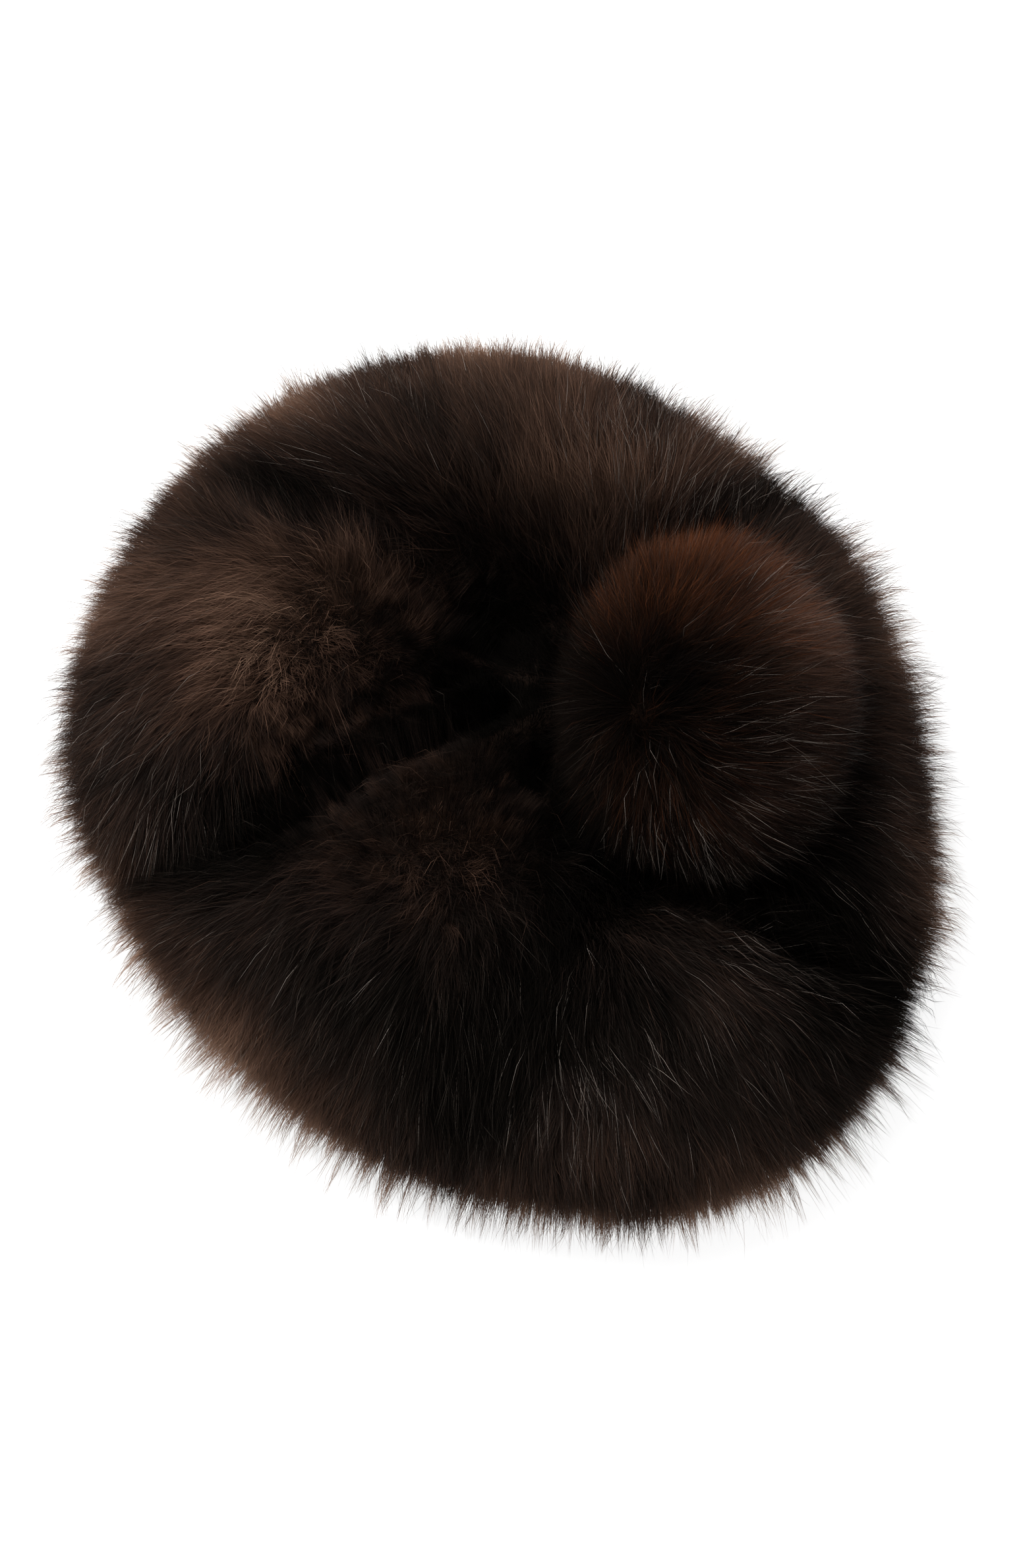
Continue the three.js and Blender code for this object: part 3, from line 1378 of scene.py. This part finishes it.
@dataclass(frozen=True, kw_only=True)
class CrownGroom(Groom):
    """How the crown's hair lies: charted on top, and round the rim from there.

    Steeper, longer and gather say how much more so the hair is, in the wool or at the rim.
    """

    base_tone: float = 0.24
    patches: tuple[Patch, ...] = PATCHES
    mottling: tuple[Ripple, ...] = (Ripple(22, 21, 0.06), Ripple(10, 22, 0.07))
    silver_share: float = 0.06
    silver_and_glint_patches: tuple[Patch, ...] = SILVER_AND_GLINT_PATCHES
    lay_spread: float = 20.0
    outward_share: float = 0.12
    turning: Ripple = Ripple(16, 11, math.radians(16))
    wool_turning: Ripple = Ripple(9, 12, math.radians(45))
    wool_middle: tuple[float, float] = (-22.0, 8.0)
    wool_inner: float = 45.0
    wool_outer: float = 90.0
    rim_gather: float = 1.4
    wool_gather: float = -0.5
    rim_steeper: float = 0.85
    wool_steeper: float = 0.5
    unsteady: Ripple = Ripple(10, 13, 0.2)
    flat_beneath: float = 0.75
    longest: Patch = Patch("back right", 120, 85, 60, 0.4)
    rim_longer: float = 0.12
    uneven: Ripple = Ripple(12, 14, 0.12)
    shorter_in_wool: float = 0.2
    shorter_beneath: float = 0.55
    coarse_puffs: Ripple = Ripple(9, 23)
    fine_puffs: Ripple = Ripple(5, 23)
    coarse_puff: float = 1.2
    fine_puff: float = 0.8
    least_puff: float = 0.3
    puff_light_and_shade: float = 0.28
    puff_height: float = 6.0
    rim_mottling: Ripple = Ripple(14, 24, 0.25)
    top_proud: float = 0.8
    top_loose: float = 0.4
    less_silver_in_wool: float = 0.7

    def _angle(self, roots: Roots) -> Array:
        """Reads the charted heading.

        Args:
            roots: where hair grows.

        Returns:
            Angles in radians.
        """
        plan = roots.places[:, :2] / MM
        course = unit(plan - WHORL) * self.outward_share
        for lay in LAYS:
            apart = ((plan - (lay.x, lay.y)) ** 2).sum(axis=1)
            towards = (math.cos(math.radians(lay.heading)), math.sin(math.radians(lay.heading)))
            course += np.outer(np.exp(-apart / self.lay_spread**2), towards)
        angle = np.arctan2(course[:, 1], course[:, 0]) + self.turning.at(roots.places)
        return angle + self.wool(roots) * self.wool_turning.at(roots.places)

    def heading(self, roots: Roots) -> Array:
        """Carries the charted way on down the sides and in beneath.

        Args:
            roots: where hair grows.

        Returns:
            Directions along the skin.
        """
        angle = self._angle(roots)
        across = np.stack([-np.sin(angle), np.cos(angle), np.zeros(len(angle))], axis=1)
        return unit(np.cross(across, roots.normals))

    def wool(self, roots: Roots) -> Array:
        """Woolly in the middle, left of the pompom, and sleek round the edge."""
        apart = np.linalg.norm(roots.places[:, :2] / MM - self.wool_middle, axis=1)
        return 1 - part_of(apart, self.wool_inner, self.wool_outer)

    def gather(self, roots: Roots) -> Array:
        """In wisps at the rim, and each hair for itself in the wool."""
        return 1 + self.rim_gather * roots.sideways(0.5, 1.0) + self.wool_gather * self.wool(roots)

    def lift(self, roots: Roots) -> Array:
        """Makes the hair steeper at the rim and in the wool, and flat beneath.

        Args:
            roots: where hair grows.

        Returns:
            How steeply it stands, where 1 is usual.
        """
        sideways = 1 - np.abs(roots.normals[:, 2])
        steep = 1 + self.rim_steeper * sideways + self.wool_steeper * self.wool(roots)
        steep *= 1 + self.unsteady.at(roots.places)
        return steep * (1 - self.flat_beneath * roots.beneath(0.5, 0.9))

    def length(self, roots: Roots) -> Array:
        """Makes the hair short in the wool and beneath, and longest at the back right.

        Args:
            roots: where hair grows.

        Returns:
            How long it is, where 1 is usual.
        """
        long = 1 + charted([self.longest], roots) + self.rim_longer * roots.sideways(0.4, 1.0)
        long *= 1 + self.uneven.at(roots.places)
        long *= 1 - self.shorter_in_wool * self.wool(roots)
        return long * (1 - self.shorter_beneath * roots.beneath(0.5, 0.9))

    def puff(self, roots: Roots) -> Array:
        """Makes small puffs of down, most in the wool.

        Args:
            roots: where hair grows.

        Returns:
            How far up each root is on a puff, from -1 to 1.
        """
        coarse = np.sqrt(np.abs(self.coarse_puffs.at(roots.places)))
        fine = np.sqrt(np.abs(self.fine_puffs.at(roots.places)))
        height = self.coarse_puff * coarse + self.fine_puff * fine - 1
        return height * (self.least_puff + (1 - self.least_puff) * self.wool(roots))

    def tone(self, roots: Roots) -> Array:
        """Adds the folds, puffs and rim to the charted patches, mostly as painted light and shade.

        Args:
            roots: where hair grows.

        Returns:
            How light it is, from 0 to 1.
        """
        tones, moved = super().tone(roots), wandered(roots.places)
        for fold in FOLDS:
            # Painted shade along the folds
            tones += fold.tone * fold.nearness(moved)
        # Painted light on the tops of the puffs and painted shade in the dips, except in the folds
        tones += self.puff_light_and_shade * self.puff(roots) * (1 - self.folded(roots))
        sideways = roots.sideways(0.45, 1.0) * (1 - roots.beneath(0.05, 0.6))
        sideways *= 1 + self.rim_mottling.at(roots.places)
        # Lighter round the sides, not beneath: partly colour, partly painted light on the sides
        return tones + self._round_the_rim(roots, "tone") * sideways

    def folded(self, roots: Roots) -> Array:
        """How near each root is to the bottom of a fold, from 0 to 1."""
        return self.sunk(roots.places) / max(fold.sunk for fold in FOLDS)

    def _round_the_rim(self, roots: Roots, column: str) -> Array:
        """Reads the chart of the rim, at the side that each root is on.

        Args:
            roots: where hair grows.
            column: the chart's column.

        Returns:
            One number for each root.
        """
        angle = np.degrees(np.arctan2(roots.places[:, 1], roots.places[:, 0]))
        angles = [rim.angle for rim in RIMS]
        return np.interp(angle, angles, [getattr(rim, column) for rim in RIMS], period=360)

    def proud(self, roots: Roots) -> Array:
        """Close to the form on top, and as charted at the rim."""
        rim = self._round_the_rim(roots, "proud") * roots.sideways(0.4, 1.0)
        return self.top_proud + rim + self.puff_height * self.puff(roots)

    def sunk(self, places: Array) -> Array:
        """Presses hair in along the folds.

        Args:
            places: points in metres.

        Returns:
            How far, in millimetres.
        """
        depth, moved = np.zeros(len(places)), wandered(places)
        for fold in FOLDS:
            depth = np.maximum(depth, fold.sunk * fold.nearness(moved))
        return depth

    def loose(self, roots: Roots) -> Array:
        """Close on top, and loose at the rim."""
        rim = self._round_the_rim(roots, "loose") * roots.sideways(0.3, 1.0)
        return self.top_loose + rim

    def silver(self, roots: Roots) -> Array:
        """Few silver hairs in the wool, and none in the folds."""
        share = super().silver(roots) * (1 - self.less_silver_in_wool * self.wool(roots))
        return share * (1 - self.folded(roots))


@dataclass(kw_only=True)
class Crown(FurPart):
    """The crown: a pelt round the head opening, with its fur."""

    node: Node = Node.CROWN
    slot: Slot = Slot.CROWN_FUR
    down_finish: HairFinish = CROWN_DOWN
    guard_finish: HairFinish = CROWN_GUARD
    down_names: tuple[str, ...] = (
        "crown_fur_front",
        "crown_fur_right",
        "crown_fur_back",
        "crown_fur_left",
    )
    guard_names: tuple[str, ...] = ("crown_guard_hair",)
    groom: CrownGroom = CrownGroom()
    upper_draw: float = 4.5 * MM
    lower_draw: float = 3.0 * MM
    lower_height: float = 14 * MM
    ring_height: float = 0.1 * MM
    pelt_thickness: float = 1.6 * MM
    fold_steps: tuple[float, ...] = (0.35, 0.6, 0.82)
    fold_drop: float = 1.25
    fold_floor: float = 28 * MM
    middle: tuple[float, float] = (0.025, 0.028)
    thinner_beneath: float = 0.7
    thinner_in_wool: float = 0.9
    thinner_in_folds: float = 0.85
    tufts: int = 8500
    seed: int = 41
    hairs: tuple[Hair, ...] = (
        Hair(
            kind=Kind.UNDERFUR,
            count=390000,
            segments=1,
            length_mm=13,
            width_mm=0.215,
            root_lift=46,
            tip_lift=46,
            waver=18,
            roll=20,
            scatter=0.3,
            pull=0.3,
            stray_mm=0.9,
            tone_scatter=0.04,
        ),
        Hair(
            kind=Kind.COAT,
            count=70000,
            segments=2,
            length_mm=19,
            width_mm=0.17,
            root_lift=46,
            tip_lift=22,
            waver=12,
            roll=20,
            scatter=0.3,
            pull=0.35,
            stray_mm=3.4,
            tone_scatter=0.07,
        ),
        Hair(
            kind=Kind.GUARD,
            count=45000,
            segments=2,
            length_mm=26,
            width_mm=0.11,
            root_lift=42,
            tip_lift=16,
            waver=10,
            roll=70,
            scatter=0.35,
            pull=0.2,
            stray_mm=6.0,
            tone_shift=-0.02,
            tone_scatter=0.13,
            silver=0.13,
        ),
    )

    def build(self) -> None:
        """Makes the pelt and grows its fur."""
        self.skins = [self._pelt()]
        self.grow(Skin.of(self.skins[0]), self.groom, self.middle)

    def _pelt(self) -> bpy.types.Object:
        """Makes the skin under the fur, open below, with the thickness of leather.

        Returns:
            The piece.
        """
        pelt = merged_copy(Node.CROWN, "crown_pelt")
        self._drop_inside(pelt)
        draw_in(pelt, self.lower_draw)
        choose_faces(pelt, lambda face: face.center.z > self.lower_height)
        bpy.ops.object.mode_set(mode="EDIT")
        bpy.ops.transform.shrink_fatten(value=-self.upper_draw)
        bpy.ops.object.mode_set(mode="OBJECT")
        self._press_folds(pelt)
        pelt.data.materials.append(CROWN_SKIN.make())
        pelt.data.materials.append(SUEDE.make())
        wall = {"thickness": self.pelt_thickness, "offset": -1.0}
        suede_inside = {"material_offset": 1, "material_offset_rim": 1}
        apply_modifier(pelt, "SOLIDIFY", **wall, **suede_inside)
        apply_modifier(pelt, "SUBSURF", levels=1, render_levels=1)
        bpy.ops.object.shade_smooth()
        return pelt

    def _drop_inside(self, pelt: bpy.types.Object) -> None:
        """Deletes the hollow's faces, so that only the skin and the ring are left.

        Args:
            pelt: the pelt, in object mode.
        """
        choose_faces(pelt, lambda face: face.center.z < self.ring_height and face.normal.z < -0.9)
        bpy.ops.object.mode_set(mode="EDIT")
        bpy.ops.mesh.select_mode(type="FACE")
        bpy.ops.mesh.hide(unselected=False)
        bpy.ops.object.mode_set(mode="OBJECT")
        top = max(face.center.z for face in pelt.data.polygons if not face.hide)
        for face in pelt.data.polygons:
            face.select = not face.hide and face.center.z == top
        bpy.ops.object.mode_set(mode="EDIT")
        bpy.ops.mesh.select_linked()
        bpy.ops.mesh.select_all(action="INVERT")
        bpy.ops.mesh.delete(type="FACE")
        bpy.ops.mesh.reveal(select=False)
        bpy.ops.object.mode_set(mode="OBJECT")

    def _press_folds(self, pelt: bpy.types.Object) -> None:
        """Presses the folds into the top, in steps, and smooths them.

        Args:
            pelt: the pelt, in object mode.
        """
        middles = np.array([face.center for face in pelt.data.polygons])
        upper, moved = middles[:, 2] > self.fold_floor, wandered(middles)
        for fold in FOLDS:
            nearness = fold.nearness(moved) * upper
            drop = -fold.sunk * self.fold_drop * MM / len(self.fold_steps)
            for near in self.fold_steps:
                choose_faces(pelt, lambda face: nearness[face.index] > near)
                bpy.ops.object.mode_set(mode="EDIT")
                bpy.ops.transform.translate(value=(0, 0, drop))
                bpy.ops.object.mode_set(mode="OBJECT")
        bpy.ops.object.mode_set(mode="EDIT")
        bpy.ops.mesh.select_all(action="SELECT")
        bpy.ops.mesh.vertices_smooth(factor=0.5, repeat=2)
        bpy.ops.object.mode_set(mode="OBJECT")

    def favour(self, hair: Hair) -> Favour:
        """Underfur wherever it shows, and the longer hair where the fur is sleek."""
        return self._even if hair.kind is Kind.UNDERFUR else self._sleek

    def _even(self, roots: Roots) -> Array:
        """Dense wherever it shows, thin beneath."""
        return 1 - self.thinner_beneath * roots.beneath(0.2, 0.8)

    def _sleek(self, roots: Roots) -> Array:
        """Makes hair thin in the wool and in the folds, as well as beneath.

        Args:
            roots: the middles of the skin's faces.

        Returns:
            How dense it is, where 1 is usual.
        """
        in_wool = 1 - self.thinner_in_wool * self.groom.wool(roots)
        in_folds = 1 - self.thinner_in_folds * self.groom.folded(roots)
        return self._even(roots) * in_wool * in_folds


# The pompom


POMPOM_PATCHES = (
    Patch("back, rust", 57, 50, 21, 0.3),
    Patch("left, tan", 36, 24, 17, 0.16),
    Patch("whorl", 46, 4, 11, -0.24),
    Patch("dark, right of the whorl", 62, 6, 20, -0.18),
    Patch("front left, rust", 36, -20, 14, 0.1),
    Patch("right", 88, 22, 20, 0.36),
    Patch("right, lower", 104, -6, 14, -0.04),
    Patch("front right", 88, -34, 20, 0.08),
    # Painted shade at the left and back left edges, over the dark hollow
    Patch("left edge", 14, 8, 22, -0.42),
    Patch("back left edge", 32, 48, 14, -0.24),
    Patch("front left edge", 34, -52, 14, -0.08),
)

# More silver guard hairs: partly their colour, partly painted glints and sheen
POMPOM_SILVER_AND_GLINTS = (
    Patch("back right", 95, 45, 14, 0.8),
    Patch("right", 88, 24, 14, 1.2),
    Patch("front right", 80, -15, 16, 1.2),
    Patch("front", 58, -40, 18, 2.2),
)


@dataclass(frozen=True, kw_only=True)
class PompomGroom(Groom):
    """Hair that spreads from one whorl round the pompom.

    The hair lies over at lying_lift, and stands up by standing_lift more at the whorl.
    """

    centre: tuple[float, float, float]
    whorl: tuple[float, float, float] = (-0.68, -0.22, 0.7)
    base_tone: float = 0.15
    patches: tuple[Patch, ...] = POMPOM_PATCHES
    mottling: tuple[Ripple, ...] = (Ripple(16, 34, 0.05), Ripple(5, 35, 0.1))
    silver_share: float = 0.04
    silver_and_glint_patches: tuple[Patch, ...] = POMPOM_SILVER_AND_GLINTS
    swirl: Ripple = Ripple(11, 31)
    swirl_degrees: float = 20.0
    whorl_degrees: float = 50.0
    lying_lift: float = 0.85
    standing_lift: float = 0.35
    unsteady: Ripple = Ripple(9, 32, 0.12)
    uneven: Ripple = Ripple(10, 33, 0.1)
    bumpy: Ripple = Ripple(9, 36, 1.8)
    painted_side_shade: float = 0.28
    least_wool: float = 0.15
    back_left_wool: float = 0.35
    whorl_wool: float = 0.5
    least_grey: float = 0.12
    right_grey: float = 0.8
    grey_to_right: float = 0.9
    grey_to_front: float = 0.4
    grey_at_back: float = 0.1

    def _facing(self, roots: Roots) -> Array:
        """How nearly the skin faces the way of the whorl, from -1 to 1."""
        return roots.normals @ unit(np.array([self.whorl]))[0]

    def heading(self, roots: Roots) -> Array:
        """Leads the hair away from the whorl.

        Args:
            roots: where hair grows.

        Returns:
            Directions along the skin.
        """
        axis = unit(np.array([self.whorl]))[0]
        away = unit(self._facing(roots)[:, None] * roots.normals - axis + 1e-6)
        near = part_of(self._facing(roots), 0.75, 1.0)
        swirl = np.radians(self.swirl_degrees + self.whorl_degrees * near)
        swirl = (swirl * self.swirl.at(roots.places))[:, None]
        return unit(np.cos(swirl) * away + np.sin(swirl) * np.cross(away, roots.normals))

    def lift(self, roots: Roots) -> Array:
        """Upright at the whorl, and lying over further away."""
        steep = self.lying_lift + self.standing_lift * part_of(self._facing(roots), 0.2, 0.95)
        return steep * (1 + self.unsteady.at(roots.places))

    def length(self, roots: Roots) -> Array:
        """Even, with some unevenness from lock to lock."""
        return 1 + self.uneven.at(roots.places)

    def wool(self, roots: Roots) -> Array:
        """Makes the hair a little woolly at the back left, and more at the whorl.

        Args:
            roots: where hair grows.

        Returns:
            How woolly it is, from 0 to 1.
        """
        offset = (roots.places - self.centre) / MM
        back_left = self.back_left_wool * part_of(offset[:, 1] - offset[:, 0], -30, 50)
        whorl = self.whorl_wool * part_of(self._facing(roots), 0.88, 0.98)
        return self.least_wool + back_left + whorl

    def tone(self, roots: Roots) -> Array:
        """The charted patches, with painted shade round the sides."""
        return super().tone(roots) - self.painted_side_shade * roots.sideways(0.3, 0.85)

    def proud(self, roots: Roots) -> Array:
        """Close to the form, with some unevenness."""
        return self.bumpy.at(roots.places)

    def coloured(self, tones: Array, roots: Roots, rng: np.random.Generator) -> Array:
        """Makes it rust at the back and the left, and grey brown at the front and the right.

        Args:
            tones: how light each hair is, from 0 to 1.
            roots: where they grow.
            rng: the random numbers.

        Returns:
            The place of each hair across the map.
        """
        offset = (roots.places - self.centre) / MM
        lean = np.where(offset[:, 1] > 0, self.grey_at_back, self.grey_to_front)
        right = part_of(self.grey_to_right * offset[:, 0] - lean * offset[:, 1], -12, 24)
        grey = rng.uniform(0, 1, len(tones)) < self.least_grey + self.right_grey * right
        return tones / 2 + np.where(grey, SECOND_COLOUR, 0)


@dataclass(kw_only=True)
class Pompom(FurPart):
    """The pompom: a stuffed ball of pelt on a gathered neck, with its fur."""

    node: Node = Node.POMPOM
    slot: Slot = Slot.POMPOM_FUR
    down_finish: HairFinish = POMPOM_DOWN
    guard_finish: HairFinish = POMPOM_GUARD
    down_names: tuple[str, ...] = ("pompom_fur",)
    guard_names: tuple[str, ...] = ("pompom_guard_hair",)
    draw: float = 15 * MM
    neck_zone: float = 4 * MM
    neck_clearance: float = 1 * MM
    neck_taper: float = 0.8
    neck_flattening: float = 0.1
    fill: float = 0.9
    tufts: int = 2600
    seed: int = 73
    hairs: tuple[Hair, ...] = (
        Hair(
            kind=Kind.UNDERFUR,
            count=88000,
            segments=1,
            length_mm=17,
            width_mm=0.2,
            root_lift=50,
            tip_lift=50,
            waver=18,
            roll=20,
            scatter=0.3,
            pull=0.25,
            stray_mm=1.5,
            tone_scatter=0.06,
        ),
        Hair(
            kind=Kind.COAT,
            count=26000,
            segments=2,
            length_mm=21,
            width_mm=0.17,
            root_lift=52,
            tip_lift=26,
            waver=15,
            roll=20,
            scatter=0.2,
            pull=0.3,
            stray_mm=2.8,
            tone_scatter=0.11,
        ),
        Hair(
            kind=Kind.GUARD,
            count=14000,
            segments=2,
            length_mm=24,
            width_mm=0.11,
            root_lift=50,
            tip_lift=26,
            waver=14,
            roll=70,
            scatter=0.25,
            pull=0.1,
            stray_mm=4.2,
            tone_shift=0.02,
            tone_scatter=0.15,
            silver=0.18,
        ),
    )

    def build(self) -> None:
        """Makes the stuffed core and grows its fur."""
        low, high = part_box(Node.POMPOM.value)
        centre = (low + high) / 2
        core, neck_top = self._core(low.z)
        self.skins = [core]
        groom = PompomGroom(centre=tuple(centre))
        self.grow(Skin.of(core, neck_top), groom, (centre.x, centre.y))

    def _core(self, seat: float) -> tuple[bpy.types.Object, float]:
        """Makes the stuffed ball, drawn in under its fur, with a neck down to the crown.

        Args:
            seat: the height of the pompom's lowest point.

        Returns:
            The piece, and the height that its neck reaches up to.
        """
        core = merged_copy(Node.POMPOM, "pompom_core")
        draw_in(core, self.draw)
        lowest = min(face.center.z for face in core.data.polygons)
        neck_top = lowest + self.neck_zone
        choose_faces(core, lambda face: face.center.z < neck_top)
        bpy.ops.object.mode_set(mode="EDIT")
        drop = seat + self.neck_clearance - lowest
        bpy.ops.mesh.extrude_region_move(TRANSFORM_OT_translate={"value": (0, 0, drop)})
        bpy.ops.transform.resize(value=(self.neck_taper, self.neck_taper, self.neck_flattening))
        bpy.ops.object.mode_set(mode="OBJECT")
        core.data.materials.append(POMPOM_SKIN.make())
        apply_modifier(core, "SUBSURF", levels=1, render_levels=1)
        bpy.ops.object.shade_smooth()
        return core, neck_top

    def dress(self) -> None:
        """Dresses the fur."""
        super().dress()


# The studio

WHITE = (1.0, 1.0, 1.0, 1.0)


@dataclass(frozen=True)
class Softbox:
    """A square soft light."""

    name: str
    place: tuple[float, float, float]
    side: float
    watts: float


@dataclass(frozen=True)
class Studio:
    """The floor, the light and the camera."""

    floor_side: float = 6.0
    elevation: float = 72.0
    distance: float = 1.5
    aim: tuple[float, float, float] = (0.0034, -0.0045, 0.0342)
    lens: float = 105.5
    sky: float = 0.52
    floor_grey: float = 0.36
    floor_glow: float = 0.8
    softboxes: tuple[Softbox, ...] = (
        Softbox("key_light", (-0.55, 0.45, 1.25), 0.8, 28.0),
        Softbox("side_light", (1.1, -0.5, 0.9), 0.8, 4.0),
    )

    def build(self) -> None:
        """Makes everything in the studio."""
        self._floor()
        self._lights()
        self._camera()

    def _floor(self) -> None:
        """Lays a plain pale floor, which also glows, lighting the fur from below and lifting its
        shade.
        """
        bpy.ops.object.select_all(action="DESELECT")
        bpy.ops.mesh.primitive_plane_add(size=self.floor_side)
        floor = bpy.context.object
        floor.name = "floor"
        bench = Bench("glowing_white_paper")
        shade = {
            "Base Color": (self.floor_grey, self.floor_grey, self.floor_grey, 1.0),
            "Roughness": 0.95,
            "Emission Color": WHITE,
            "Emission Strength": self.floor_glow,
        }
        floor.data.materials.append(bench.close(shade))

    def _lights(self) -> None:
        """Makes an even sky and hangs the soft lights."""
        world = bpy.data.worlds.new("even_sky")
        world.use_nodes = True
        background = world.node_tree.nodes["Background"]
        background.inputs["Color"].default_value = WHITE
        background.inputs["Strength"].default_value = self.sky
        bpy.context.scene.world = world
        for softbox in self.softboxes:
            bpy.ops.object.light_add(type="AREA", location=softbox.place)
            light = bpy.context.object
            light.name = softbox.name
            light.data.size = softbox.side
            light.data.energy = softbox.watts
            light.rotation_euler = (-light.location).to_track_quat("-Z", "Y").to_euler()

    def _camera(self) -> None:
        """Sets up the photograph's view, steeply down from the front."""
        tilt = math.radians(90 - self.elevation)
        back = (0.0, -math.sin(tilt) * self.distance, math.cos(tilt) * self.distance)
        place = [near + step for near, step in zip(self.aim, back)]
        bpy.ops.object.camera_add(location=place, rotation=(tilt, 0, 0))
        camera = bpy.context.object
        camera.name = "camera"
        camera.data.lens = self.lens
        camera.data.clip_end = 20
        bpy.context.scene.camera = camera
        bpy.context.scene.view_settings.view_transform = "Standard"


def main() -> None:
    """Builds the beret, piece by piece, and then the studio."""
    logging.basicConfig(level=logging.INFO, format="%(name)s: %(message)s")
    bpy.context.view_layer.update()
    total = 0
    for part in (Crown(), Pompom()):
        part.build()
        part.dress()
        for piece in part.pieces():
            count = triangles_in(piece)
            total += count
            log.info("%s has %d triangles", piece.name, count)
    log.info("%d triangles in all", total)
    Studio().build()


if __name__ == "__main__":
    main()
